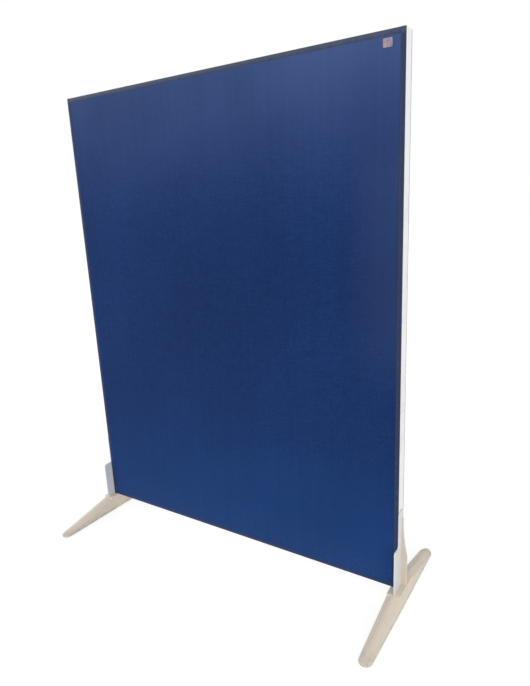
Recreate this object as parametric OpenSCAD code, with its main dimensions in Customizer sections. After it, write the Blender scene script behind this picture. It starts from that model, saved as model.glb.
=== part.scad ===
// Free-standing acoustic divider screen: a fabric-faced panel on a timber frame,
// carried at each end by an upright bracket bolted to a long, low cast foot.
// X runs along the panel, Y through it and Z up.
// The origin is on the floor, below the middle of the panel.

/* [Panel] */
// Width of the panel over its edge trims
panel_w = 1200; // [800:10:1800]
// Height of the panel over its edge trims
panel_h = 1500; // [1000:10:2000]
// Thickness of the panel
panel_t = 45; // [42:1:60]
// Height of the panel's underside above the floor
panel_lift = 60; // [54:1:80]

/* [Face layers] */
// Thickness of the woven fabric on each face
fabric_t = 1.5; // [1:0.1:2.5]
// Thickness of the acoustic felt under each fabric
felt_t = 5; // [3:0.5:6]
// How far each fabric face sits back from the crowns of the beads
fabric_set = 1; // [0.5:0.1:1.5]
// Width of the dark bead round each face, in from the panel's edges
bead_w = 13; // [11:0.5:16]
// Radius of the bead's crown
bead_r = 16; // [12:0.5:30]
// Thickness of the bead's lip over the edge trim
lip_t = 3; // [2:0.5:4]

/* [Edge trims] */
// Thickness of the trim that closes each edge of the panel
trim_t = 5; // [3:0.5:8]
// Rounding of the trim's outer edges
trim_r = 1; // [0.5:0.1:2]
// Thickness of the spine that holds the trim in its kerf
spine_t = 2.5; // [1.5:0.1:4]
// Depth of the spine
spine_d = 10; // [6:1:13]

/* [Timber frame] */
// Width of the stiles and rails, seen from the front
timber_w = 45; // [40:1:60]
// Diameter of the dowels in the frame's joints
dowel_d = 8; // [6:1:10]
// Length of the dowels
dowel_l = 40; // [24:2:44]
// Distance between the two dowels of a joint
dowel_pitch = 24; // [16:1:28]

/* [Upright bracket] */
// Thickness of the plate against the panel's end
plate_t = 4; // [3:0.5:6]
// Reach of the plate's front wing and rear heel from the panel's middle plane
wing_reach = 54; // [46:1:56]
// Height of the front wing above the panel's underside
wing_h = 137; // [80:1:160]
// Height of the rear heel above the panel's underside
heel_h = 42; // [30:1:70]
// Rounding of the shoulders of wing and heel
wing_r = 8; // [4:1:14]
// Distance of the strap's front edge from the panel's middle plane
strap_front = 21; // [20:0.5:22]
// Width of the strap above wing and heel
strap_w = 30; // [28:1:34]
// Height of the strap above the panel's underside
strap_h = 250; // [220:1:320]
// Rounding of the strap's top corners
strap_r = 8; // [2:1:12]
// Radius of the fillets where the strap meets wing and heel
neck_r = 6; // [3:1:10]
// Thickness of the tab under the panel
tab_t = 5; // [4:0.5:6]
// Reach of the tab under the panel
tab_w = 15; // [12:0.5:15]
// Length of the tab, front to back
tab_l = 38; // [34:1:44]
// Rounding of the tab's inner corners
tab_r = 4; // [2:1:6]

/* [Foot] */
// Length of the foot, front to back
foot_l = 560; // [420:10:700]
// Width of the foot at its middle
foot_w = 40; // [38:1:60]
// Width of the foot at its rounded tips
tip_w = 38; // [32:1:40]
// Height of the ridge at the tips
tip_h = 12; // [11:0.5:18]
// Length of the flat seat under the panel
seat_l = 112; // [112:1:140]
// Thickness of the casting under the seat
seat_t = 12; // [11:0.5:16]
// Fall of the crown from its ridge to the foot's sides
crown_drop = 8; // [4:0.5:10]
// Width of the flat along the ridge
ridge_w = 8; // [4:1:14]
// Thickness of the foot's walls
foot_wall = 4; // [3:0.5:4]
// Thickness of the ribs across the underside
rib_t = 3; // [2:0.5:5]
// Distance between ribs
rib_pitch = 42; // [25:1:60]
// Length of the solid tips beyond the hollow
tip_solid = 58; // [50:1:80]
// Thickness of the web that rises behind the strap's screws
web_t = 6; // [4:0.5:7]
// Height of the web above the seat
web_h = 220; // [150:5:220]
// Height of the web's full-width root above the seat
web_root = 96; // [20:2:110]
// How far the web stands out at its top
web_top = 1.5; // [1:0.5:5]
// How far the web's root stays back from the foot's outer edge
web_set = 1; // [0.5:0.5:3]

/* [Floor pads] */
// Diameter of the floor pads
pad_d = 26; // [18:1:30]
// Thickness of the floor pads
pad_h = 3; // [2:0.5:4]
// Distance of each pad's centre from the foot's tip
pad_set = 28; // [22:1:36]
// Diameter of the pad's stub
stub_d = 8; // [5:0.5:10]
// Length of the pad's stub
stub_l = 6; // [4:0.5:7]

/* [Fasteners] */
// Diameter of the screws that hold the bracket to the panel
screw_d = 4.5; // [3.5:0.5:5]
// Length of those screws under the head
screw_l = 35; // [25:1:40]
// Diameter of the screw heads
screw_head_d = 9; // [7:0.5:10]
// Height of the screw heads
screw_head_h = 3; // [2:0.5:4]
// Distance of the lowest screw above the panel's underside
screw_low = 42; // [30:1:60]
// Distance of the highest screw below the strap's top
screw_high = 32; // [20:1:60]
// Number of screws in each bracket's strap
screw_rows = 4; // [2:1:5]
// Diameter of the bolts that hold the bracket to the foot
bolt_d = 6; // [5:0.5:6]
// Diameter of the bolt heads
bolt_head_d = 10; // [8.5:0.5:11]
// Height of the bolt heads
bolt_head_h = 6; // [4:0.5:7]
// Distance between the two bolts, front to back
bolt_span = 22; // [18:1:24]
// Size of the hexagon socket in the bolt heads, across its corners
bolt_key = 5.8; // [4:0.1:6]
// Depth of that socket
bolt_key_depth = 3; // [2:0.5:3.5]

/* [Fits] */
// Clearance round the spines in their kerfs
kerf_gap = 0.2; // [0.1:0.05:0.4]
// Clearance round screws, bolts, dowels and stubs in their holes
hole_gap = 0.15; // [0.1:0.05:0.3]
// Clearance round the tab in its pocket
tab_gap = 0.5; // [0.25:0.25:1]

/* [Hidden] */

// Overrun of every cut
cut = 1;
// Facets of small holes and rounds, and of long curves
$fn = 48;
fine_fn = 160;

// Outside of the timber frame, inside the trims
frame_w = panel_w - 2 * trim_t;
frame_h = panel_h - 2 * trim_t;
frame_t = panel_t - 2 * (fabric_set + fabric_t + felt_t);
frame_low = panel_lift + trim_t;
rail_l = frame_w - 2 * timber_w;
rail_mid = frame_low + frame_h / 2;
bay_h = (frame_h - 3 * timber_w) / 2;
// Kerf in the top and bottom rails, stopped short of the dowels
rail_kerf_l = rail_l - dowel_l - 2 * dowel_d;

// Outside of the felt and fabric, inside the beads
face_w = panel_w - 2 * bead_w;
face_h = panel_h - 2 * bead_w;

// Panel's end face, where the brackets stand
end_x = panel_w / 2;
// Front and rear edges of the trims, under the beads' lips
trim_half = panel_t / 2 - lip_t;

// Bracket
strap_rear = strap_w - strap_front;
screw_y = (strap_rear - web_t - strap_front) / 2;
screw_pitch = (strap_h - screw_low - screw_high) / (screw_rows - 1);
// The bolts come from below and end flush with the seat
bolt_x = -tab_w / 2;
bolt_l = seat_t;

// Web of the foot
web_run = foot_w / 2 - web_set - plate_t;
web_rise = web_h - web_root;
web_flare = web_run - web_top;
web_arc = (web_rise * web_rise + web_flare * web_flare) / (2 * web_flare);

// Foot
seat_half = seat_l / 2;
tip_r = tip_w / 2;
tip_y = foot_l / 2 - tip_r;
side_run = tip_y - seat_half;
side_span = sqrt(foot_w * foot_w / 4 + side_run * side_run);
side_angle = acos(tip_r / side_span) - atan2(side_run, foot_w / 2);
slope = atan2(panel_lift - tip_h, foot_l / 2 - seat_half);
arm_l = foot_l / 2;
crown_half = foot_w / 2 + cut;
crown_fall = crown_drop * (crown_half - ridge_w / 2) / (foot_w / 2 - ridge_w / 2);
hollow_half = foot_l / 2 - tip_solid;
rib_count = floor((hollow_half - seat_half) / rib_pitch);
pad_y = foot_l / 2 - pad_set;

fabric_blue = [0.13, 0.20, 0.39];
felt_grey = [0.42, 0.43, 0.45];
core_yellow = [0.72, 0.66, 0.45];
timber_tan = [0.80, 0.66, 0.45];
bead_dark = [0.16, 0.18, 0.25];
trim_pale = [0.90, 0.90, 0.89];
bracket_pale = [0.82, 0.83, 0.84];
foot_cream = [0.85, 0.81, 0.74];
steel_grey = [0.62, 0.63, 0.64];
pad_black = [0.12, 0.12, 0.12];

// A cylinder whose axis runs along X, from x = 0 upwards
module rod_x(r, l) {
    rotate([0, 90, 0])
        cylinder(r = r, h = l);
}

// Both ends of the screen: side is -1 at the left and 1 at the right
module at_end(side) {
    if (side < 0)
        mirror([1, 0, 0])
            translate([end_x, 0, 0]) children();
    else
        translate([end_x, 0, 0]) children();
}

// Places of the screws on one bracket, on the panel's end face
module screw_places() {
    for (row = [0 : screw_rows - 1])
        translate([0, screw_y, panel_lift + screw_low + row * screw_pitch]) children();
}

// Places of the bolts between one bracket and its foot, at the underside of the seat
module bolt_places() {
    for (y = [-bolt_span / 2, bolt_span / 2])
        translate([bolt_x, y, panel_lift - seat_t]) children();
}

// Places of the dowels, each at the stile's inner face with its axis along X
module dowel_places() {
    for (side = [-1, 1], z = [frame_low + timber_w / 2, rail_mid, frame_low + frame_h - timber_w / 2])
        for (step = [-dowel_pitch / 2, dowel_pitch / 2])
            translate([side * rail_l / 2, 0, z + step]) children();
}

module dowel_holes() {
    dowel_places()
        translate([-dowel_l / 2 - hole_gap, 0, 0])
            rod_x(dowel_d / 2 + hole_gap, dowel_l + 2 * hole_gap);
}

// Upright timber of the frame, kerfed for its trim and drilled for dowels and screws
module stile(side) {
    color(timber_tan)
    difference() {
        at_end(side)
            difference() {
                translate([-trim_t - timber_w, -frame_t / 2, frame_low])
                    cube([timber_w, frame_t, frame_h]);
                translate([-trim_t - spine_d - kerf_gap, -spine_t / 2 - kerf_gap, frame_low - cut])
                    cube([spine_d + kerf_gap + cut, spine_t + 2 * kerf_gap, frame_h + 2 * cut]);
                screw_places()
                    translate([plate_t - screw_l - hole_gap, 0, 0])
                        rod_x(screw_d / 2 + hole_gap, screw_l);
            }
        dowel_holes();
    }
}

// Rail between the stiles, with its middle at height z
module rail(z, kerf_side) {
    color(timber_tan)
    difference() {
        translate([-rail_l / 2, -frame_t / 2, z - timber_w / 2])
            cube([rail_l, frame_t, timber_w]);
        if (kerf_side != 0)
            translate([0, 0, z + kerf_side * timber_w / 2])
                cube([rail_kerf_l, spine_t + 2 * kerf_gap, 2 * (spine_d + kerf_gap)], center = true);
        dowel_holes();
    }
}

module frame_dowels() {
    color(timber_tan)
    dowel_places()
        translate([-dowel_l / 2, 0, 0])
            rod_x(dowel_d / 2, dowel_l);
}

// Sound-absorbing slab in one bay of the frame
module core(low) {
    color(core_yellow)
    translate([-rail_l / 2, -frame_t / 2, low])
        cube([rail_l, frame_t, bay_h]);
}

// Flat sheet of a face, between two distances from the panel's middle plane
module face_sheet(side, inner, thick) {
    translate([0, side * (inner + thick / 2), frame_low + frame_h / 2])
        cube([face_w, thick, face_h], center = true);
}

module felt(side) {
    color(felt_grey)
    face_sheet(side, frame_t / 2, felt_t);
}

module fabric(side) {
    color(fabric_blue)
    face_sheet(side, frame_t / 2 + felt_t, fabric_t);
}

// One straight length of bead along Z: its lip starts at the panel's edge, x = 0, and
// its leg stands on the timber inside the trim; its crown is at y = 0
module bead(l, leg_l) {
    depth = (panel_t - frame_t) / 2;
    color(bead_dark)
    intersection() {
        union() {
            translate([0, -lip_t, 0])
                cube([bead_w, lip_t, l]);
            translate([trim_t, -depth, (l - leg_l) / 2])
                cube([bead_w - trim_t, depth, leg_l]);
        }
        translate([bead_w / 2, -bead_r, -cut])
            cylinder(r = bead_r, h = l + 2 * cut, $fn = fine_fn);
    }
}

// Bead at the left or right edge of a face, as high as the panel
module side_bead(face, side) {
    translate([side * end_x, 0, panel_lift])
        mirror([side > 0 ? 1 : 0, 0, 0])
            mirror([0, face < 0 ? 1 : 0, 0])
                translate([0, panel_t / 2, 0])
                    bead(panel_h, frame_h);
}

// Bead at the top or bottom edge of a face, between the side beads
module cross_bead(face, side) {
    translate([-face_w / 2, 0, rail_mid])
        mirror([0, 0, side < 0 ? 1 : 0])
            mirror([0, face < 0 ? 1 : 0, 0])
                translate([0, panel_t / 2, panel_h / 2])
                    rotate([0, 90, 0])
                        bead(face_w, face_w);
}

// Section of an edge trim: its outer face is at x = 0, its spine points to -x
module trim_section() {
    translate([-trim_t, -trim_half])
        square([trim_t - trim_r, 2 * trim_half]);
    translate([-trim_t, -trim_half + trim_r])
        square([trim_t, 2 * (trim_half - trim_r)]);
    for (y = [-1, 1])
        translate([-trim_r, y * (trim_half - trim_r)])
            circle(r = trim_r);
}

module trim_spine(l) {
    translate([-trim_t - spine_d, -spine_t / 2, 0])
        cube([spine_d + cut, spine_t, l]);
}

// Trim on the panel's left or right edge, drilled for the bracket's screws
module side_trim(side) {
    color(trim_pale)
    at_end(side)
        difference() {
            union() {
                translate([0, 0, panel_lift])
                    linear_extrude(panel_h) trim_section();
                translate([0, 0, frame_low])
                    trim_spine(frame_h);
            }
            screw_places()
                translate([-trim_t - cut, 0, 0])
                    rod_x(screw_d / 2 + hole_gap, trim_t + 2 * cut);
        }
}

// Trim on the panel's top or bottom edge, between the side trims
module cross_trim(side) {
    color(trim_pale)
    translate([0, 0, panel_lift + panel_h / 2])
        mirror([0, 0, side < 0 ? 1 : 0])
            translate([0, 0, panel_h / 2])
                rotate([0, -90, 0]) {
                    translate([0, 0, -frame_w / 2])
                        linear_extrude(frame_w) trim_section();
                    translate([0, 0, kerf_gap - rail_kerf_l / 2])
                        trim_spine(rail_kerf_l - 2 * kerf_gap);
                }
}

// One side of the plate's lower part: rounded shoulder, and fillet up to the strap
module shoulder(reach, h, strap_edge) {
    square([reach, h - wing_r]);
    square([reach - wing_r, h]);
    translate([reach - wing_r, h - wing_r])
        circle(r = wing_r);
    difference() {
        square([strap_edge + neck_r, h + neck_r]);
        translate([strap_edge + neck_r, h + neck_r])
            circle(r = neck_r);
    }
}

// Outline of the bracket's plate, y across and z up from the panel's underside
module plate_outline() {
    mirror([1, 0])
        shoulder(wing_reach, wing_h, strap_front);
    shoulder(wing_reach, heel_h, strap_rear);
    translate([-strap_front, 0])
        square([strap_w, strap_h - strap_r]);
    translate([-strap_front + strap_r, 0])
        square([strap_w - 2 * strap_r, strap_h]);
    for (y = [-strap_front + strap_r, strap_rear - strap_r])
        translate([y, strap_h - strap_r])
            circle(r = strap_r);
}

// Plan of the tab under the panel, grown by gap for its pocket in the seat
module tab_plan(gap) {
    reach = tab_w + gap;
    half = tab_l / 2 + gap;
    r = tab_r + gap;
    translate([r - reach, -half])
        square([reach - r + plate_t, 2 * half]);
    translate([-reach, r - half])
        square([reach, 2 * (half - r)]);
    for (y = [r - half, half - r])
        translate([r - reach, y])
            circle(r = r);
}

// Bracket: plate with strap, front wing and rear heel, and the tab under the panel
module upright(side) {
    color(bracket_pale)
    at_end(side)
        difference() {
            union() {
                translate([0, 0, panel_lift])
                    rotate([90, 0, 90])
                        linear_extrude(plate_t) plate_outline();
                translate([0, 0, panel_lift - tab_t])
                    linear_extrude(tab_t) tab_plan(0);
            }
            screw_places()
                translate([-cut, 0, 0])
                    rod_x(screw_d / 2 + hole_gap, plate_t + 2 * cut);
            bolt_places()
                cylinder(r = bolt_d / 2 + hole_gap, h = seat_t + cut);
        }
}

// Wood screws through the bracket and the trim into the stile
module panel_screws(side) {
    color(steel_grey)
    at_end(side)
        screw_places() {
            translate([plate_t - screw_l, 0, 0])
                rod_x(screw_d / 2, screw_l);
            translate([plate_t, 0, 0])
                rod_x(screw_head_d / 2, screw_head_h);
        }
}

// Socket-head bolts up through the foot's seat into the bracket's tab
module foot_bolts(side) {
    color(steel_grey)
    at_end(side)
        bolt_places()
            difference() {
                union() {
                    cylinder(r = bolt_d / 2, h = bolt_l);
                    translate([0, 0, -bolt_head_h])
                        cylinder(r = bolt_head_d / 2, h = bolt_head_h);
                }
                translate([0, 0, -bolt_head_h - cut])
                    cylinder(r = bolt_key / 2, h = bolt_key_depth + cut, $fn = 6);
            }
}

// Plan of the foot, drawn in by inset: straight seat, sides tapering to round tips
module foot_plan(inset) {
    r = tip_r - inset;
    half = foot_w / 2 - inset;
    polygon([
        [half, -seat_half], [half, seat_half],
        [r * cos(side_angle), tip_y + r * sin(side_angle)],
        [-r * cos(side_angle), tip_y + r * sin(side_angle)],
        [-half, seat_half], [-half, -seat_half],
        [-r * cos(side_angle), -tip_y - r * sin(side_angle)],
        [r * cos(side_angle), -tip_y - r * sin(side_angle)]
    ]);
    for (y = [-tip_y, tip_y])
        translate([0, y]) circle(r = r, $fn = fine_fn);
}

// Crowned prism that falls from the seat to the front tip, lowered by inset
module crowned_slope(inset) {
    translate([0, seat_half, panel_lift - inset])
        rotate([-slope, 0, 0])
            translate([0, arm_l, 0])
                rotate([90, 0, 0])
                    linear_extrude(arm_l + seat_half)
                        polygon([
                            [-crown_half, -foot_l], [crown_half, -foot_l],
                            [crown_half, -crown_fall], [ridge_w / 2, 0],
                            [-ridge_w / 2, 0], [-crown_half, -crown_fall]
                        ]);
}

// Everything inside the foot's outer skin, drawn in by inset on its sides and along
// its arms, and by top under its seat
module foot_body(inset, top, low) {
    intersection() {
        translate([0, 0, low])
            linear_extrude(panel_lift - low) foot_plan(inset);
        union() {
            for (turn = [0, 180])
                rotate([0, 0, turn])
                    intersection() {
                        crowned_slope(inset);
                        translate([-foot_w, seat_half, -cut])
                            cube([2 * foot_w, foot_l, panel_lift + cut]);
                    }
            translate([-foot_w, -seat_half, -cut])
                cube([2 * foot_w, seat_l, panel_lift - top + cut]);
        }
    }
}

// Cross ribs that stay inside the hollow underside
module foot_ribs() {
    for (side = [-1, 1], i = [0 : rib_count])
        translate([-foot_w, side * (seat_half + i * rib_pitch) - rib_t / 2, 0])
            cube([2 * foot_w, rib_t, panel_lift]);
    translate([-foot_w, -rib_t / 2, 0])
        cube([2 * foot_w, rib_t, panel_lift]);
}

// Outline of the web, x outwards from the plate and z up from the seat: a full-width
// root, then a long hollow flare up to its narrow top
module web_outline() {
    difference() {
        translate([0, -cut])
            square([web_run, web_h + cut]);
        translate([web_top + web_arc, web_h])
            circle(r = web_arc, $fn = 4 * fine_fn);
    }
}

// Cast foot: flat seat with its web and a pocket for the bracket's tab, crowned arms
// falling to round tips, ribbed hollow underside
module foot(side) {
    color(foot_cream)
    at_end(side)
        difference() {
            union() {
                foot_body(0, 0, pad_h);
                translate([plate_t, strap_rear, panel_lift])
                    rotate([90, 0, 0])
                        linear_extrude(web_t) web_outline();
            }
            difference() {
                intersection() {
                    foot_body(foot_wall, seat_t, 0);
                    translate([-foot_w, -hollow_half, 0])
                        cube([2 * foot_w, 2 * hollow_half, panel_lift]);
                }
                foot_ribs();
            }
            translate([0, 0, panel_lift - tab_t])
                linear_extrude(tab_t + cut) tab_plan(tab_gap);
            bolt_places()
                translate([0, 0, -cut])
                    cylinder(r = bolt_d / 2 + hole_gap, h = seat_t + cut);
            for (y = [-pad_y, pad_y])
                translate([0, y, pad_h - cut])
                    cylinder(r = stub_d / 2 + hole_gap, h = stub_l + hole_gap + cut);
        }
}

// Floor pads with their stubs, under the foot's two tips
module floor_pads(side) {
    color(pad_black)
    at_end(side)
        for (y = [-pad_y, pad_y])
            translate([0, y, 0]) {
                cylinder(r = pad_d / 2, h = pad_h);
                cylinder(r = stub_d / 2, h = pad_h + stub_l);
            }
}

stile(-1);  // left_stile
stile(1);  // right_stile
rail(frame_low + frame_h - timber_w / 2, 1);  // top_rail
rail(rail_mid, 0);  // middle_rail
rail(frame_low + timber_w / 2, -1);  // bottom_rail
frame_dowels();
core(rail_mid + timber_w / 2);  // upper_core
core(frame_low + timber_w);  // lower_core
felt(-1);  // front_felt
felt(1);  // rear_felt
fabric(-1);  // front_fabric
fabric(1);  // rear_fabric
side_bead(-1, -1);  // front_bead_left
side_bead(-1, 1);  // front_bead_right
cross_bead(-1, 1);  // front_bead_top
cross_bead(-1, -1);  // front_bead_bottom
side_bead(1, -1);  // rear_bead_left
side_bead(1, 1);  // rear_bead_right
cross_bead(1, 1);  // rear_bead_top
cross_bead(1, -1);  // rear_bead_bottom
side_trim(-1);  // left_edge_trim
side_trim(1);  // right_edge_trim
cross_trim(1);  // top_edge_trim
cross_trim(-1);  // bottom_edge_trim
upright(-1);  // left_upright
upright(1);  // right_upright
panel_screws(-1);  // left_panel_screws
panel_screws(1);  // right_panel_screws
foot(-1);  // left_foot
foot(1);  // right_foot
foot_bolts(-1);  // left_foot_bolts
foot_bolts(1);  // right_foot_bolts
floor_pads(-1);  // left_floor_pads
floor_pads(1);  // right_floor_pads
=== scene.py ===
from math import cos, pi, radians, sin

import bmesh
import bpy
from mathutils import Matrix, Vector, noise


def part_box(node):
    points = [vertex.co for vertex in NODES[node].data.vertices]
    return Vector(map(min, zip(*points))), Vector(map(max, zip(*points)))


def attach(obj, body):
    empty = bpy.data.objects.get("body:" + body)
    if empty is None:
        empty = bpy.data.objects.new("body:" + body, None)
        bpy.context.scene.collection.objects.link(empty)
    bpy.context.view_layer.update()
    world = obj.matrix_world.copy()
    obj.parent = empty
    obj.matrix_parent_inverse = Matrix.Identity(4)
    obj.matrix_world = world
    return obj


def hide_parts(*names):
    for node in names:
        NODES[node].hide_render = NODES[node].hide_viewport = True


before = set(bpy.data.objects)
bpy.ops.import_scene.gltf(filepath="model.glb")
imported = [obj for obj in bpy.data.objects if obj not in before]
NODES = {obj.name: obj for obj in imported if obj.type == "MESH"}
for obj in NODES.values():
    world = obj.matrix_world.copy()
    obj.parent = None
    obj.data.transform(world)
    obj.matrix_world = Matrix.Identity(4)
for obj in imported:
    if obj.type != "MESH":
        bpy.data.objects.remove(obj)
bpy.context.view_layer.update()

# Free-standing acoustic divider screen. Lengths are in metres.
# X runs along the panel, Y through it, Z up; the front face looks towards -Y.

ROOT = "root"

TRIM_LOW, TRIM_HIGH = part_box("right_edge_trim")
PANEL_RIGHT = TRIM_HIGH[0]
PANEL_BASE = TRIM_LOW[2]
PANEL_TOP = TRIM_HIGH[2]
BRACKET_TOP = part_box("right_upright")[1][2]


# Material building blocks

def start_finish(name):
    """A new material with its shader, and the object coordinates that it reads"""
    finish = bpy.data.materials.new(name)
    finish.use_nodes = True
    tree = finish.node_tree
    shader = tree.nodes["Principled BSDF"]
    place = tree.nodes.new("ShaderNodeTexCoord").outputs["Object"]
    return finish, tree, shader, place


def fill(tree, socket, value):
    """Sets an input to a value, or joins it to an output"""
    if isinstance(value, bpy.types.NodeSocket):
        tree.links.new(value, socket)
    else:
        socket.default_value = value


def wire(tree, kind, inputs=None, **settings):
    """One node with its settings, its inputs set to values or joined to outputs"""
    node = tree.nodes.new(kind)
    for key, value in settings.items():
        setattr(node, key, value)
    for key, value in (inputs or {}).items():
        fill(tree, node.inputs[key], value)
    return node


def calc(tree, operation, *values):
    """Result of one sum on up to three values"""
    inputs = dict(enumerate(values))
    return wire(tree, "ShaderNodeMath", inputs, operation=operation).outputs[0]


def times(tree, first, *others):
    """Product of two values or more"""
    for other in others:
        first = calc(tree, "MULTIPLY", first, other)
    return first


def split(tree, vector):
    """The three parts of a vector"""
    parts = wire(tree, "ShaderNodeSeparateXYZ", {0: vector}).outputs
    return parts[0], parts[1], parts[2]


def join(tree, x, y, z):
    """A vector from three values"""
    return wire(tree, "ShaderNodeCombineXYZ", {0: x, 1: y, 2: z}).outputs[0]


def stretched(tree, place, scale):
    """Coordinates scaled on each axis, so that a pattern runs along one of them"""
    return wire(tree, "ShaderNodeMapping", {"Vector": place, "Scale": scale}).outputs[0]


def clouds(tree, place, scale, detail=2.0, rough=0.5, distortion=0.0):
    """Noise from 0 to 1 whose patches are about 1 / scale metres across"""
    inputs = {"Vector": place, "Scale": scale, "Detail": detail,
              "Roughness": rough, "Distortion": distortion}
    return wire(tree, "ShaderNodeTexNoise", inputs).outputs["Fac"]


def streaked(tree, place, scale, detail=2.0, rough=0.5):
    """Noise drawn out along the axes on which its scale is small"""
    return clouds(tree, stretched(tree, place, scale), 1.0, detail, rough)


def grains(tree, place, scale):
    """Distance to the nearest of many scattered points"""
    inputs = {"Vector": place, "Scale": scale}
    return wire(tree, "ShaderNodeTexVoronoi", inputs).outputs["Distance"]


def band(tree, value, low, high, start=0.0, end=1.0, smooth=True):
    """A value between low and high, taken to start and end and held there"""
    inputs = {0: value, 1: low, 2: high, 3: start, 4: end}
    kind = "SMOOTHSTEP" if smooth else "LINEAR"
    return wire(tree, "ShaderNodeMapRange", inputs, interpolation_type=kind).outputs[0]


def opaque(colour):
    """A colour of three numbers with its fourth; a socket stays as it is"""
    return colour if isinstance(colour, bpy.types.NodeSocket) else (*colour, 1.0)


def tint(tree, amount, first, second):
    """Colour between two others"""
    # The Mix node's colours are its inputs 6 and 7 and its output 2
    inputs = {"Factor": amount, 6: opaque(first), 7: opaque(second)}
    return wire(tree, "ShaderNodeMix", inputs, data_type="RGBA").outputs[2]


def shade(tree, colour, factor):
    """A colour made lighter or darker by a value"""
    node = wire(tree, "ShaderNodeHueSaturation", {"Color": colour, "Value": factor})
    return node.outputs[0]


def coat(tree, shader, colour, rough):
    """Gives the shader its colour and roughness"""
    fill(tree, shader.inputs["Base Color"], colour)
    fill(tree, shader.inputs["Roughness"], rough)


def relief(tree, shader, height, depth):
    """Bump of that depth in metres"""
    bump = wire(tree, "ShaderNodeBump", {"Height": height, "Distance": depth, "Strength": 1.0})
    tree.links.new(bump.outputs["Normal"], shader.inputs["Normal"])


# Woven cloth

# Threads and slubs to the metre
THREADS = 620.0
SLUBS = 34.0
# Steps through the noise from one thread to the next, and from the warp to the weft
NEXT_THREAD = 0.71
TO_WEFT = 7.3

CLOTH_DEEP = (0.0038, 0.0196, 0.096)
CLOTH_LIGHT = (0.0102, 0.0424, 0.161)
# A painted sheen: the paler, greyer blue of the cloth's top
CLOTH_PAINTED_SHEEN = (0.067, 0.108, 0.266)
# Painted floor bounce: the brighter blue of the cloth's lower part
CLOTH_PAINTED_BOUNCE = (0.0110, 0.0600, 0.232)
# A painted reflection: the paler blue near the panel's right end
CLOTH_PAINTED_REFLECTION = (0.036, 0.061, 0.172)
CLOTH_DUST = (0.24, 0.25, 0.27)
CLOTH_SHEEN = (0.55, 0.66, 1.0, 1.0)

# How far the painted sheen reaches down from the top, and the painted floor bounce and the
# dust reach up from the base
PAINTED_SHEEN_REACH = 0.56
PAINTED_BOUNCE_REACH = 0.56
DUST_REACH = 0.16
# Power by which the painted sheen grows on its way up
PAINTED_SHEEN_CURVE = 2.2
# Painted reflection: where it starts and is full, in from the panel's right end, and the
# heights between which it sets in and those between which it dies away
PAINTED_REFLECTION_START = 0.18
PAINTED_REFLECTION_FULL = 0.03
PAINTED_REFLECTION_SETS_IN = (0.60, 0.94)
PAINTED_REFLECTION_DIES_AWAY = (1.16, 1.46)


def weave(tree, across, up):
    """Height of a plain weave, and the slubs of whichever thread lies on top"""
    warp = times(tree, across, THREADS)
    weft = times(tree, up, THREADS)
    warp_wave = calc(tree, "SINE", times(tree, warp, pi))
    weft_wave = calc(tree, "SINE", times(tree, weft, pi))
    crossing = times(tree, warp_wave, weft_wave)
    over = calc(tree, "MULTIPLY_ADD", crossing, 0.5, 0.5)
    under = calc(tree, "MULTIPLY_ADD", crossing, -0.5, 0.5)
    warp_high = times(tree, calc(tree, "ABSOLUTE", warp_wave), over)
    weft_high = times(tree, calc(tree, "ABSOLUTE", weft_wave), under)
    height = calc(tree, "MAXIMUM", warp_high, weft_high)
    warp_on_top = calc(tree, "GREATER_THAN", warp_high, weft_high)

    warp_thread = join(tree, times(tree, calc(tree, "FLOOR", warp), NEXT_THREAD), 0.0,
                       times(tree, up, SLUBS))
    weft_thread = join(tree, times(tree, across, SLUBS), TO_WEFT,
                       times(tree, calc(tree, "FLOOR", weft), NEXT_THREAD))
    warp_slub = clouds(tree, warp_thread, scale=1.0, detail=3.0)
    weft_slub = clouds(tree, weft_thread, scale=1.0, detail=3.0)
    # The Mix node's numbers are its inputs 2 and 3 and its output 0
    slub = wire(tree, "ShaderNodeMix", {"Factor": warp_on_top, 2: weft_slub, 3: warp_slub},
                data_type="FLOAT").outputs[0]
    return height, slub


def cloth_with_painted_light(tree, colour, across, up, patches):
    """The cloth's colour with painted light: a painted sheen at its top, painted floor bounce
    at its foot and a painted reflection near its right end
    """
    # Painted sheen: the cloth grows paler and greyer towards its top
    near_top = band(tree, up, PANEL_TOP - PAINTED_SHEEN_REACH, PANEL_TOP, smooth=False)
    painted_sheen = times(tree, calc(tree, "POWER", near_top, PAINTED_SHEEN_CURVE),
                 band(tree, patches, 0.25, 0.75, 0.46, 0.80))
    colour = tint(tree, painted_sheen, colour, CLOTH_PAINTED_SHEEN)
    # Painted floor bounce: the cloth is a brighter blue towards its base
    painted_bounce = band(tree, up, PANEL_BASE + PAINTED_BOUNCE_REACH, PANEL_BASE, 0.0, 0.60)
    colour = tint(tree, painted_bounce, colour, CLOTH_PAINTED_BOUNCE)
    # Painted reflection: the cloth is paler near the panel's right end, at middle heights
    by_the_end = band(tree, across, PANEL_RIGHT - PAINTED_REFLECTION_START, PANEL_RIGHT - PAINTED_REFLECTION_FULL)
    at_reflection_height = times(tree, band(tree, up, *PAINTED_REFLECTION_SETS_IN),
                           band(tree, up, *reversed(PAINTED_REFLECTION_DIES_AWAY)))
    painted_reflection = times(tree, by_the_end, at_reflection_height,
                   band(tree, patches, 0.30, 0.70, 0.42, 0.64))
    return tint(tree, painted_reflection, colour, CLOTH_PAINTED_REFLECTION)


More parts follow.
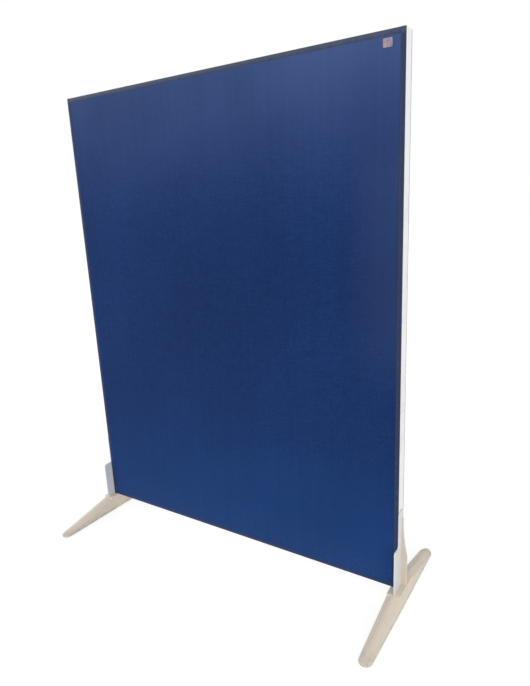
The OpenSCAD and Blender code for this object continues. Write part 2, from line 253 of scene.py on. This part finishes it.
def woven_cloth():
    """Plain weave with slubbed threads and painted shade in its hollows, with a painted sheen
    at the top, painted floor bounce at the foot and a painted reflection near the right end
    """
    finish, tree, shader, place = start_finish("blue_woven_cloth")
    across, _, up = split(tree, place)
    height, slub = weave(tree, across, up)
    heather = clouds(tree, place, scale=210.0, detail=4.0, rough=0.7)
    streaks = streaked(tree, place, scale=(70.0, 1.0, 1.6))
    patches = clouds(tree, place, scale=1.7, detail=3.0, rough=0.45)

    thread = calc(tree, "ADD", times(tree, slub, 0.75), times(tree, heather, 0.35))
    colour = tint(tree, band(tree, thread, 0.34, 0.78), CLOTH_DEEP, CLOTH_LIGHT)
    colour = cloth_with_painted_light(tree, colour, across, up, patches)
    # Painted shade: darker in the weave's hollows, on top of the random patches and streaks
    tone_and_painted_shade = times(tree, band(tree, patches, 0.28, 0.72, 0.9, 1.12),
                 band(tree, streaks, 0.25, 0.75, 0.96, 1.04),
                 band(tree, height, 0.1, 0.8, 0.66, 1.08))
    colour = shade(tree, colour, tone_and_painted_shade)
    dust = times(tree, band(tree, up, PANEL_BASE + DUST_REACH, PANEL_BASE, 0.0, 0.05),
                 band(tree, heather, 0.36, 0.70))
    coat(tree, shader, tint(tree, dust, colour, CLOTH_DUST),
         band(tree, height, 0.0, 1.0, 0.96, 0.82))
    shader.inputs["Sheen Weight"].default_value = 0.06
    shader.inputs["Sheen Roughness"].default_value = 0.45
    shader.inputs["Sheen Tint"].default_value = CLOTH_SHEEN
    shader.inputs["Specular IOR Level"].default_value = 0.12
    relief(tree, shader, calc(tree, "MULTIPLY_ADD", slub, 0.3, height), depth=0.00022)
    return finish


# Edge strips

BEAD_DEEP = (0.0095, 0.0205, 0.067)
BEAD_LIGHT = (0.0175, 0.0325, 0.094)
BEAD_GROOVE_DUST = (0.14, 0.16, 0.21)
BEAD_TOP_LIGHTER = (0.32, 0.37, 0.44)
# Depths below the panel's top to which the top bead's lightening is full, and at which it ends
TOP_LIGHTER_FULL = 0.010
TOP_LIGHTER_END = 0.018

TRIM_DULL = (0.850, 0.846, 0.836)
TRIM_CLEAN = (0.910, 0.908, 0.900)
TRIM_MARKS = (0.50, 0.48, 0.44)


def dark_bead(name, run):
    """Flexible dark strip with drawn lines along its run and dust; the top one is lighter"""
    finish, tree, shader, place = start_finish(name)
    _, _, up = split(tree, place)
    lines = streaked(tree, place, run, detail=3.0, rough=0.6)
    dust = clouds(tree, place, scale=55.0, detail=5.0, rough=0.65)
    colour = tint(tree, lines, BEAD_DEEP, BEAD_LIGHT)
    colour = tint(tree, band(tree, dust, 0.52, 0.74, 0.0, 0.2), colour, BEAD_GROOVE_DUST)
    # The top bead is made lighter near the panel's top
    top_lighter = times(tree, band(tree, up, PANEL_TOP - TOP_LIGHTER_END, PANEL_TOP - TOP_LIGHTER_FULL),
                    band(tree, dust, 0.30, 0.60, 0.05, 0.10))
    colour = tint(tree, top_lighter, colour, BEAD_TOP_LIGHTER)
    coat(tree, shader, colour, band(tree, dust, 0.3, 0.7, 0.42, 0.66))
    shader.inputs["Specular IOR Level"].default_value = 0.3
    relief(tree, shader, lines, depth=0.00012)
    return finish


def pale_trim(name, run):
    """Off-white coated edge strip with faint drawn lines, scuffs and handling marks"""
    finish, tree, shader, place = start_finish(name)
    lines = streaked(tree, place, run)
    marks = clouds(tree, place, scale=9.0, detail=6.0, rough=0.7, distortion=0.6)
    specks = clouds(tree, place, scale=650.0)
    colour = tint(tree, lines, TRIM_DULL, TRIM_CLEAN)
    colour = tint(tree, band(tree, marks, 0.54, 0.70, 0.0, 0.26), colour, TRIM_MARKS)
    coat(tree, shader, colour, band(tree, marks, 0.35, 0.7, 0.34, 0.58))
    relief(tree, shader, calc(tree, "MULTIPLY_ADD", specks, 0.5, lines), depth=0.00006)
    return finish


# Painted brackets and feet

BRACKET_DULL = (0.640, 0.649, 0.661)
BRACKET_CLEAN = (0.708, 0.714, 0.723)
BRACKET_SPECKS = (0.40, 0.41, 0.43)
BRACKET_RUBBED = (0.42, 0.41, 0.39)

FOOT_DULL = (0.668, 0.582, 0.474)
FOOT_CLEAN = (0.734, 0.646, 0.537)
FOOT_SCUFFS = (0.36, 0.33, 0.29)
FOOT_DIRT = (0.30, 0.27, 0.23)
# Heights above the floor at which the dirt on the feet ends and is full
DIRT_END = 0.024
DIRT_FULL = 0.003


def bracket_paint():
    """Cool pale powder coat: orange peel, fine specks, and rubs that grow towards the floor"""
    finish, tree, shader, place = start_finish("bracket_powder_coat")
    _, _, up = split(tree, place)
    peel = clouds(tree, place, scale=620.0, detail=1.0)
    specks = clouds(tree, place, scale=1500.0, detail=1.0)
    cast = clouds(tree, place, scale=24.0, detail=3.0)
    rub = streaked(tree, place, scale=(60.0, 60.0, 14.0), detail=6.0, rough=0.72)
    colour = tint(tree, cast, BRACKET_DULL, BRACKET_CLEAN)
    colour = tint(tree, band(tree, specks, 0.62, 0.72, 0.0, 0.16), colour, BRACKET_SPECKS)
    low = band(tree, up, BRACKET_TOP, PANEL_BASE, 0.25, 1.0)
    rub = times(tree, band(tree, rub, 0.60, 0.70, 0.0, 0.6), low)
    colour = tint(tree, rub, colour, BRACKET_RUBBED)
    coat(tree, shader, colour, calc(tree, "MULTIPLY_ADD", rub, 0.25, 0.36))
    relief(tree, shader, peel, depth=0.00006)
    return finish


def foot_paint():
    """Warm pale powder coat: orange peel, shoe scuffs along the arms, dirt by the floor"""
    finish, tree, shader, place = start_finish("foot_powder_coat")
    _, _, up = split(tree, place)
    peel = clouds(tree, place, scale=520.0, detail=1.0)
    cast = clouds(tree, place, scale=14.0, detail=4.0)
    scuff = streaked(tree, place, scale=(130.0, 17.0, 60.0), detail=5.0, rough=0.7)
    grime = clouds(tree, place, scale=75.0, detail=5.0, rough=0.65)
    colour = tint(tree, cast, FOOT_DULL, FOOT_CLEAN)
    colour = tint(tree, band(tree, scuff, 0.60, 0.72, 0.0, 0.34), colour, FOOT_SCUFFS)
    low = band(tree, up, DIRT_END, DIRT_FULL, 0.0, 0.55)
    dirt = times(tree, low, band(tree, grime, 0.34, 0.62))
    colour = tint(tree, dirt, colour, FOOT_DIRT)
    coat(tree, shader, colour, band(tree, scuff, 0.35, 0.72, 0.38, 0.62))
    relief(tree, shader, peel, depth=0.00008)
    return finish


# Fasteners and floor pads

ZINC_COLD = (0.60, 0.61, 0.62)
ZINC_WARM = (0.68, 0.66, 0.60)
RUBBER_BLACK = (0.018, 0.018, 0.019)
RUBBER_DUST = (0.14, 0.13, 0.12)


def zinc_steel():
    """Plated steel with fine turned lines and a faint yellow bloom"""
    finish, tree, shader, place = start_finish("zinc_plated_steel")
    shader.inputs["Metallic"].default_value = 1.0
    lines = streaked(tree, place, scale=(3000.0, 700.0, 700.0), detail=1.0)
    bloom = clouds(tree, place, scale=160.0, detail=4.0)
    coat(tree, shader, tint(tree, bloom, ZINC_COLD, ZINC_WARM),
         band(tree, bloom, 0.3, 0.7, 0.28, 0.46))
    relief(tree, shader, lines, depth=0.00001)
    return finish


def black_rubber():
    """Black rubber with a fine grain and patches of floor dust"""
    finish, tree, shader, place = start_finish("black_rubber_pad")
    grain = clouds(tree, place, scale=900.0, detail=3.0)
    dust = clouds(tree, place, scale=120.0, detail=4.0)
    colour = tint(tree, band(tree, dust, 0.5, 0.75, 0.0, 0.4), RUBBER_BLACK, RUBBER_DUST)
    coat(tree, shader, colour, band(tree, dust, 0.3, 0.7, 0.72, 0.92))
    relief(tree, shader, grain, depth=0.00008)
    return finish


# Timber and filling

PINE_EARLY = (0.62, 0.42, 0.22)
PINE_LATE = (0.44, 0.26, 0.11)
PINE_FIBRE = (0.70, 0.52, 0.30)
PINE_KNOT = (0.16, 0.08, 0.035)
FELT_DEEP = (0.085, 0.088, 0.095)
FELT_LIGHT = (0.225, 0.228, 0.238)
FELT_FLECK = (0.42, 0.42, 0.43)
SLAB_DEEP = (0.36, 0.29, 0.12)
SLAB_LIGHT = (0.56, 0.48, 0.25)
SLAB_FIBRE = (0.24, 0.19, 0.08)


def softwood(name, along):
    """Planed pine with growth rings drawn out along the board, and a few knots"""
    finish, tree, shader, place = start_finish(name)
    drawn = stretched(tree, place, along)
    wobble = clouds(tree, drawn, scale=0.35, detail=3.0)
    rings = calc(tree, "SINE", times(tree, wobble, 95.0))
    fibre = clouds(tree, drawn, scale=14.0, detail=3.0, rough=0.7)
    knots = grains(tree, place, scale=3.1)
    colour = tint(tree, band(tree, rings, -0.6, 1.0), PINE_EARLY, PINE_LATE)
    colour = tint(tree, times(tree, fibre, 0.35), colour, PINE_FIBRE)
    colour = tint(tree, band(tree, knots, 0.07, 0.03), colour, PINE_KNOT)
    coat(tree, shader, colour, band(tree, fibre, 0.3, 0.7, 0.55, 0.75))
    relief(tree, shader, calc(tree, "MULTIPLY_ADD", rings, 0.2, fibre), depth=0.0001)
    return finish


def acoustic_felt():
    """Grey needled felt with tangled fibres and lighter flecks"""
    finish, tree, shader, place = start_finish("grey_acoustic_felt")
    tangle = clouds(tree, place, scale=420.0, detail=6.0, rough=0.75, distortion=1.4)
    flecks = clouds(tree, place, scale=260.0)
    colour = tint(tree, tangle, FELT_DEEP, FELT_LIGHT)
    colour = tint(tree, band(tree, flecks, 0.62, 0.70), colour, FELT_FLECK)
    coat(tree, shader, colour, rough=0.95)
    shader.inputs["Sheen Weight"].default_value = 0.3
    relief(tree, shader, tangle, depth=0.0006)
    return finish


def fibre_slab():
    """Yellow-brown sound-absorbing slab in thin laid layers"""
    finish, tree, shader, place = start_finish("sound_absorbing_slab")
    layers = streaked(tree, place, scale=(40.0, 900.0, 40.0), detail=4.0, rough=0.7)
    fibres = clouds(tree, place, scale=700.0, detail=4.0, rough=0.8, distortion=1.0)
    colour = tint(tree, layers, SLAB_DEEP, SLAB_LIGHT)
    colour = tint(tree, times(tree, fibres, 0.4), colour, SLAB_FIBRE)
    coat(tree, shader, colour, rough=0.95)
    relief(tree, shader, calc(tree, "ADD", layers, fibres), depth=0.0005)
    return finish


# Tag

TAG_PINK = (0.372, 0.288, 0.336)
TAG_SOILED = (0.268, 0.202, 0.236)
# Ribs to the metre
TAG_RIBS = 1400.0


def bare_tag():
    """Washed-out pinkish tag, fine ribbed and soiled in places"""
    finish, tree, shader, place = start_finish("bare_pink_tag")
    _, _, up = split(tree, place)
    rib = calc(tree, "SINE", times(tree, up, 2.0 * pi * TAG_RIBS))
    stain = clouds(tree, place, scale=130.0, detail=4.0)
    colour = tint(tree, band(tree, stain, 0.35, 0.68), TAG_PINK, TAG_SOILED)
    # Painted shade: darker in the hollows between the ribs
    coat(tree, shader, shade(tree, colour, band(tree, rib, -1.0, 1.0, 0.93, 1.04)),
         band(tree, stain, 0.3, 0.7, 0.6, 0.82))
    relief(tree, shader, rib, depth=0.00005)
    return finish


# Piece building blocks

# Angles in degrees below which the faces of a piece shade as one
CLOTH_SMOOTH = 60.0
HARD_SMOOTH = 35.0
# Corners of a CAD solid that are closer than this are one
WELD_REACH = 0.00001


def placed(name, shape):
    """An object of the scene from a bmesh, which is used up"""
    mesh = bpy.data.meshes.new(name)
    shape.to_mesh(mesh)
    shape.free()
    thing = bpy.data.objects.new(name, mesh)
    bpy.context.scene.collection.objects.link(thing)
    return thing


def make_piece(name, shape, finish, smooth_below, of_nodes=()):
    """Turns a bmesh into a finished piece that rides on the screen"""
    bmesh.ops.recalc_face_normals(shape, faces=shape.faces)
    piece = placed(name, shape)
    for face in piece.data.polygons:
        face.use_smooth = True
    piece.data.set_sharp_from_angle(angle=radians(smooth_below))
    piece.data.materials.append(finish)
    if of_nodes:
        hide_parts(*of_nodes)
    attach(piece, ROOT)
    return piece


def soften(node, width, segments, from_angle):
    """Rounds the sharp edges of a CAD solid, whose own mesh stays as it is"""
    piece = NODES[node]
    weld = piece.modifiers.new("weld", "WELD")
    weld.merge_threshold = WELD_REACH
    edge = piece.modifiers.new("soft_edges", "BEVEL")
    edge.width = width
    edge.segments = segments
    edge.limit_method = "ANGLE"
    edge.angle_limit = radians(from_angle)
    edge.harden_normals = True
    edge.use_clamp_overlap = True


def dress(names, finish):
    """Gives CAD solids their finish"""
    for name in names:
        for held in NODES[name].material_slots:
            held.material = finish


# Stretched cloth

COVER_STEP = 0.009
CLOTH_THICK = 0.0007
# The cover dips into the groove beside the beads
RIM_ROWS = 5
RIM_WIDTH = 0.004
RIM_SINK = 0.0006
# It puckers near its rim and swells slightly elsewhere: heights, waves to the metre,
# and the slice of the noise that each face takes
PUCKER_REACH = 0.075
PUCKER_DEPTH = 0.00022
PUCKERS = 21.0
PUCKER_SLICE = 5.0
SWELL_DEPTH = 0.00035
SWELLS = 2.3
SWELL_SLICE = 9.0


def rim_spacing(share, half, count):
    """Place of a grid line from -half to half, with narrow rows at both rims"""
    step = round((share + 0.5) * count)
    inner = half - RIM_WIDTH
    if step <= RIM_ROWS:
        return -half + RIM_WIDTH * step / RIM_ROWS
    if step >= count - RIM_ROWS:
        return half - RIM_WIDTH * (count - step) / RIM_ROWS
    middle = (step - RIM_ROWS) / (count - 2 * RIM_ROWS)
    return inner * (2.0 * middle - 1.0)


def cloth_lift(x, z, side, rim):
    """How far the cloth stands out at a place whose distance from the rim is given"""
    dip = max(0.0, 1.0 - rim / RIM_WIDTH)
    near = max(0.0, 1.0 - rim / PUCKER_REACH)
    pucker = noise.noise(Vector((x * PUCKERS, side * PUCKER_SLICE, z * PUCKERS)))
    swell = noise.noise(Vector((x * SWELLS, side * SWELL_SLICE, z * SWELLS)))
    lift = PUCKER_DEPTH * pucker * near * near + SWELL_DEPTH * 0.5 * (1.0 + swell) * (1.0 - near)
    return lift - RIM_SINK * dip * dip


def stretched_cover(name, node, side, finish):
    """Woven cloth pulled flat over the felt, dipping into the groove beside the beads"""
    low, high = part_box(node)
    half_wide = (high[0] - low[0]) / 2
    half_tall = (high[2] - low[2]) / 2
    middle = (low[2] + high[2]) / 2
    outer = max(abs(low[1]), abs(high[1]))
    columns = round(2 * half_wide / COVER_STEP) + 2 * RIM_ROWS
    rows = round(2 * half_tall / COVER_STEP) + 2 * RIM_ROWS
    cloth = bmesh.new()
    bmesh.ops.create_grid(cloth, x_segments=columns, y_segments=rows, size=0.5)
    for vert in cloth.verts:
        x = rim_spacing(vert.co.x, half_wide, columns)
        z = rim_spacing(vert.co.y, half_tall, rows)
        rim = min(half_wide - abs(x), half_tall - abs(z))
        vert.co = Vector((x, side * (outer + cloth_lift(x, z, side, rim)), z + middle))
    cover = make_piece(name, cloth, finish, CLOTH_SMOOTH, of_nodes=(node,))
    if cover.data.polygons[0].normal.y * side < 0:
        cover.data.flip_normals()
    depth = cover.modifiers.new("cloth_thickness", "SOLIDIFY")
    depth.thickness = CLOTH_THICK
    depth.offset = -1.0


# Pan-head screws

SCREW_ROWS = 4
SCREW_HEAD_R = 0.0045
SCREW_HEAD_H = 0.003
SCREW_R = 0.00225
SCREW_POINT = 0.006
SCREW_FACETS = 28
# Degrees from the head's rim, at 0, to the middle of its dome, at 90
DOME_ANGLES = (25, 40, 55, 68, 78, 85)
RECESS_ARM = 0.0052
RECESS_WIDE = 0.0011
RECESS_DEEP = 0.0016
# Turn of the lowest screw, and of each screw from the one below it, in radians
FIRST_TURN = 0.55
NEXT_TURN = 1.9
# Points of a turned shape that are closer than this are one
SEAM_REACH = 0.000002


def turned(profile):
    """Closed solid turned about X from a profile of (x, radius) points"""
    solid = bmesh.new()
    line = [solid.verts.new((x, 0.0, r)) for x, r in profile]
    edges = [solid.edges.new(pair) for pair in zip(line, line[1:])]
    bmesh.ops.spin(solid, geom=line + edges, cent=(0, 0, 0), axis=(1, 0, 0),
                   angle=2 * pi, steps=SCREW_FACETS, use_merge=True)
    bmesh.ops.remove_doubles(solid, verts=solid.verts, dist=SEAM_REACH)
    bmesh.ops.recalc_face_normals(solid, faces=solid.faces)
    return solid


def recess_cutter():
    """Two crossed bars, half sunk in the top of a screw's head"""
    cross = bmesh.new()
    for turn in (0.0, pi / 2):
        bar = bmesh.ops.create_cube(cross, size=1.0)["verts"]
        bmesh.ops.scale(cross, vec=(2 * RECESS_DEEP, RECESS_WIDE, RECESS_ARM), verts=bar)
        bmesh.ops.rotate(cross, cent=(0, 0, 0), matrix=Matrix.Rotation(turn, 3, "X"), verts=bar)
        bmesh.ops.translate(cross, vec=(SCREW_HEAD_H, 0, 0), verts=bar)
    return cross


def pan_head_screw(length):
    """Mesh of one wood screw along X, head outwards from x = 0, with a cross recess"""
    dome = [(SCREW_HEAD_H * sin(radians(angle)), SCREW_HEAD_R * cos(radians(angle)) ** 0.5)
            for angle in DOME_ANGLES]
    blank = placed("screw_blank", turned(
        [(-length, 0.0), (-length + SCREW_POINT, SCREW_R), (0.0, SCREW_R),
         (0.0, SCREW_HEAD_R), *dome, (SCREW_HEAD_H, 0.0)]))
    cutter = placed("recess_cutter", recess_cutter())
    recess = blank.modifiers.new("recess", "BOOLEAN")
    recess.operation = "DIFFERENCE"
    recess.solver = "EXACT"
    recess.use_self = True
    recess.object = cutter
    screw = bpy.data.meshes.new_from_object(
        blank.evaluated_get(bpy.context.evaluated_depsgraph_get()))
    for thing in (blank, cutter):
        bpy.data.objects.remove(thing)
    return screw


def panel_screws(side_name, side, finish):
    """The bracket's wood screws, each turned to its own angle"""
    node = f"{side_name}_panel_screws"
    low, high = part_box(node)
    seat = max(abs(low[0]), abs(high[0])) - SCREW_HEAD_H
    one = pan_head_screw(seat - min(abs(low[0]), abs(high[0])))
    column = (low[1] + high[1]) / 2
    bottom = low[2] + SCREW_HEAD_R
    top = high[2] - SCREW_HEAD_R
    group = bmesh.new()
    for row in range(SCREW_ROWS):
        before = len(group.verts)
        group.from_mesh(one)
        group.verts.ensure_lookup_table()
        fresh = group.verts[before:]
        bmesh.ops.rotate(group, cent=(0, 0, 0), verts=fresh,
                         matrix=Matrix.Rotation(FIRST_TURN + NEXT_TURN * row, 3, "X"))
        if side < 0:
            bmesh.ops.rotate(group, cent=(0, 0, 0), verts=fresh,
                             matrix=Matrix.Rotation(pi, 3, "Z"))
        up = bottom + (top - bottom) * row / (SCREW_ROWS - 1)
        bmesh.ops.translate(group, vec=(side * seat, column, up), verts=fresh)
    make_piece(f"{side_name}_pan_head_screws", group, finish, HARD_SMOOTH,
               of_nodes=(node,))


# Bare tag

TAG_WIDE = 0.024
TAG_TALL = 0.0205
TAG_THICK = 0.0009
TAG_CORNER = 0.0022
TAG_RIM = 0.00025
# Its middle, in from the panel's right end and down from its top, and its rise off the cloth
TAG_IN = 0.0445
TAG_DOWN = 0.0285
TAG_RISE = 0.0001


def face_tag(finish):
    """Small bare tag with rounded corners on the front cloth, near the top right corner"""
    low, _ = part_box("front_fabric")
    tag = bmesh.new()
    bmesh.ops.create_cube(tag, size=1.0)
    bmesh.ops.scale(tag, vec=(TAG_WIDE, TAG_THICK, TAG_TALL), verts=tag.verts)
    corners = [edge for edge in tag.edges
               if abs(edge.verts[0].co.y - edge.verts[1].co.y) > TAG_THICK / 2]
    bmesh.ops.bevel(tag, geom=corners, offset=TAG_CORNER, affect="EDGES", segments=5,
                    profile=0.5, material=-1)
    rim = [edge for edge in tag.edges if edge.calc_face_angle(0.0) > radians(60)]
    bmesh.ops.bevel(tag, geom=rim, offset=TAG_RIM, affect="EDGES", segments=2,
                    profile=0.5, material=-1)
    middle = (PANEL_RIGHT - TAG_IN, low[1] - TAG_THICK / 2 - TAG_RISE, PANEL_TOP - TAG_DOWN)
    bmesh.ops.translate(tag, vec=middle, verts=tag.verts)
    make_piece("front_face_tag", tag, finish, HARD_SMOOTH)


# Stage and light

WHITE = (1.0, 1.0, 1.0, 1.0)
FLOOR_HALF = 30.0
FLOOR_PAINT = (0.82, 0.82, 0.82, 1.0)
# Where the floor is seen, this share of it glows and the rest is lit paint, which keeps
# the screen's shadow
GLOW_SHARE = 0.62
GLOW = 1.26
SKY_COLOUR = (0.975, 0.988, 1.0, 1.0)
SKY_FRONT = 0.86
SKY_REAR = 0.58
SUN_COLOUR = (1.0, 0.985, 0.955)
# Each lamp's place, strength and spread in degrees
LAMPS = {"front_right_daylight": ((2.8, -2.4, 1.8), 1.10, 60.0),
         "front_left_fill": ((-3.0, -1.4, 1.4), 1.20, 80.0)}
LAMP_TARGET = (0.0, 0.0, 0.7)


def seen(tree):
    """1 for what is seen, directly, mirrored or through glass, and 0 for what only gives light"""
    ray = wire(tree, "ShaderNodeLightPath").outputs
    return calc(tree, "MAXIMUM", ray["Is Camera Ray"],
                calc(tree, "MAXIMUM", ray["Is Glossy Ray"], ray["Is Transmission Ray"]))


def studio_floor():
    """Pale floor that shows white and keeps the screen's shadow"""
    paint = bpy.data.materials.new("studio_floor_white")
    paint.use_nodes = True
    tree = paint.node_tree
    tree.nodes.clear()
    lit = wire(tree, "ShaderNodeBsdfDiffuse", {"Color": FLOOR_PAINT})
    glow = wire(tree, "ShaderNodeEmission", {"Color": WHITE, "Strength": GLOW})
    both = wire(tree, "ShaderNodeMixShader", {0: times(tree, seen(tree), GLOW_SHARE),
                                              1: lit.outputs[0], 2: glow.outputs[0]})
    wire(tree, "ShaderNodeOutputMaterial", {0: both.outputs[0]})

    shape = bmesh.new()
    bmesh.ops.create_grid(shape, x_segments=1, y_segments=1, size=FLOOR_HALF)
    floor = placed("studio_floor", shape)
    floor.data.materials.append(paint)


def surroundings():
    """White where they are seen; the light that they give is stronger from the front"""
    world = bpy.data.worlds.new("studio_surroundings")
    bpy.context.scene.world = world
    world.use_nodes = True
    tree = world.node_tree
    tree.nodes.clear()
    towards = tree.nodes.new("ShaderNodeTexCoord").outputs["Generated"]
    _, rearward, _ = split(tree, towards)
    level = band(tree, rearward, -1.0, 1.0, SKY_FRONT, SKY_REAR)
    lighting = wire(tree, "ShaderNodeBackground", {0: SKY_COLOUR, 1: level})
    white = wire(tree, "ShaderNodeBackground", {0: WHITE, 1: 1.0})
    both = wire(tree, "ShaderNodeMixShader", {0: seen(tree), 1: lighting.outputs[0],
                                              2: white.outputs[0]})
    wire(tree, "ShaderNodeOutputWorld", {0: both.outputs[0]})


def add_lamp(name, place, strength, spread):
    """Soft daylight from one side, aimed near the middle of the screen"""
    light = bpy.data.lights.new(name, "SUN")
    light.energy = strength
    light.angle = radians(spread)
    light.color = SUN_COLOUR
    lamp = bpy.data.objects.new(name, light)
    bpy.context.scene.collection.objects.link(lamp)
    towards = Vector(LAMP_TARGET) - Vector(place)
    turn = towards.to_track_quat("-Z", "Y").to_matrix().to_4x4()
    lamp.matrix_world = Matrix.Translation(place) @ turn


def studio():
    """White studio with soft light from both sides of the front"""
    bpy.context.scene.view_settings.view_transform = "Standard"
    studio_floor()
    surroundings()
    for name, (place, strength, spread) in LAMPS.items():
        add_lamp(name, place, strength, spread)


# Camera, worked out from the panel's corners in the photograph

CAMERA_PLACE = (1.05932, -1.36510, 1.16191)
# Turns in degrees
CAMERA_TURN = 32.477
CAMERA_DIP = 13.868
CAMERA_ROLL = -2.375
# Sensor and lens in millimetres, shifts as shares of the picture's longer side
SENSOR = 36.0
LENS = 28.469
SHIFT_X = -0.01312
SHIFT_Y = 0.00073
CLIP_NEAR = 0.05
CLIP_FAR = 100.0


def camera():
    """The photograph's place, direction and width of view"""
    view = bpy.data.cameras.new("photo_view")
    view.sensor_width = SENSOR
    view.lens = LENS
    view.shift_x = SHIFT_X
    view.shift_y = SHIFT_Y
    view.clip_start = CLIP_NEAR
    view.clip_end = CLIP_FAR
    eye = bpy.data.objects.new("photo_view", view)
    bpy.context.scene.collection.objects.link(eye)
    eye.matrix_world = (Matrix.Translation(CAMERA_PLACE)
                        @ Matrix.Rotation(radians(CAMERA_TURN), 4, "Z")
                        @ Matrix.Rotation(radians(90.0 - CAMERA_DIP), 4, "X")
                        @ Matrix.Rotation(radians(CAMERA_ROLL), 4, "Z"))
    bpy.context.scene.camera = eye


# Assembly

# Scales of patterns, small on the axis that they run along
TIMBER_UPRIGHT = (60.0, 60.0, 3.0)
TIMBER_LEVEL = (3.0, 60.0, 60.0)
TRIM_UPRIGHT = (900.0, 900.0, 3.0)
TRIM_LEVEL = (3.0, 900.0, 900.0)
BEAD_UPRIGHT = (1400.0, 1400.0, 4.0)
BEAD_LEVEL = (4.0, 1400.0, 1400.0)
# Rounding of edges: width, segments, and the angle in degrees that counts as an edge
SOFTENING = {"foot": (0.0014, 3, 30.0),
             "upright": (0.0009, 2, 34.0),
             "foot_bolts": (0.0005, 2, 40.0)}


def timber_and_filling():
    """The frame inside the panel, its two slabs and the felt on both faces"""
    dress(["left_stile", "right_stile"], softwood("stile_pine", TIMBER_UPRIGHT))
    dress(["top_rail", "middle_rail", "bottom_rail", "frame_dowels"],
          softwood("rail_pine", TIMBER_LEVEL))
    dress(["upper_core", "lower_core"], fibre_slab())
    dress(["front_felt", "rear_felt"], acoustic_felt())


def edge_strips():
    """The pale trims round the panel and the dark beads round both faces"""
    dress(["left_edge_trim", "right_edge_trim"], pale_trim("side_trim_coat", TRIM_UPRIGHT))
    dress(["top_edge_trim", "bottom_edge_trim"], pale_trim("cross_trim_coat", TRIM_LEVEL))
    upright_bead = dark_bead("side_bead_strip", BEAD_UPRIGHT)
    level_bead = dark_bead("cross_bead_strip", BEAD_LEVEL)
    for face in ("front", "rear"):
        dress([f"{face}_bead_left", f"{face}_bead_right"], upright_bead)
        dress([f"{face}_bead_top", f"{face}_bead_bottom"], level_bead)


def covers():
    """The cloth on both faces, and the tag on the front one"""
    cloth = woven_cloth()
    stretched_cover("front_cloth_cover", "front_fabric", -1, cloth)
    stretched_cover("rear_cloth_cover", "rear_fabric", 1, cloth)
    face_tag(bare_tag())


def stands():
    """Both brackets and feet, with their fasteners and floor pads"""
    steel = zinc_steel()
    rubber = black_rubber()
    foot_coat = foot_paint()
    bracket_coat = bracket_paint()
    for side_name, side in (("left", -1), ("right", 1)):
        dress([f"{side_name}_floor_pads"], rubber)
        dress([f"{side_name}_foot"], foot_coat)
        dress([f"{side_name}_upright"], bracket_coat)
        dress([f"{side_name}_foot_bolts"], steel)
        for part, (width, segments, from_angle) in SOFTENING.items():
            soften(f"{side_name}_{part}", width, segments, from_angle)
        panel_screws(side_name, side, steel)


camera()
studio()
timber_and_filling()
edge_strips()
covers()
stands()
